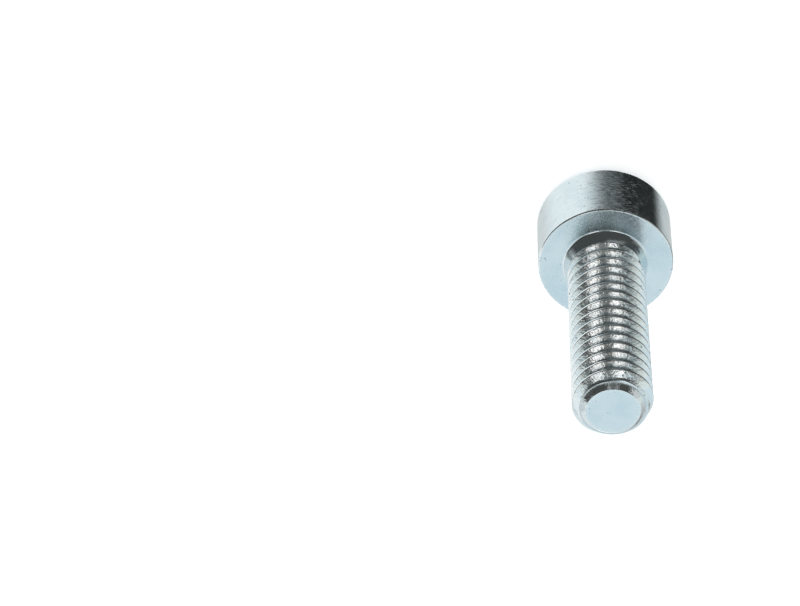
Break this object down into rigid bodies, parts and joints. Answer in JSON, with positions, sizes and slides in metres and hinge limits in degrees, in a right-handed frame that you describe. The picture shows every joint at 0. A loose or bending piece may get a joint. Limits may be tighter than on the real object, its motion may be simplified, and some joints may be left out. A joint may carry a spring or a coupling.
{
  "type": "hex socket cap screw",
  "caption": "Cylindrical-head screw with a hex socket, smooth neck, full-length right-hand metric thread and chamfered flat tip; clamps parts in a tapped hole.",
  "frame": {"origin": "centre of the head's top face, which the screw stands on", "axes": "+Z along the screw's axis from the head to the tip, +X across a corner of the hex socket"},
  "size_m": [0.007, 0.007, 0.016],
  "materials": {
    "zinc_plated_steel": "bright zinc plating with a faint blue cast"
  },
  "bodies": {
    "root": {"socket_screw": "zinc_plated_steel"}
  },
  "joints": []
}
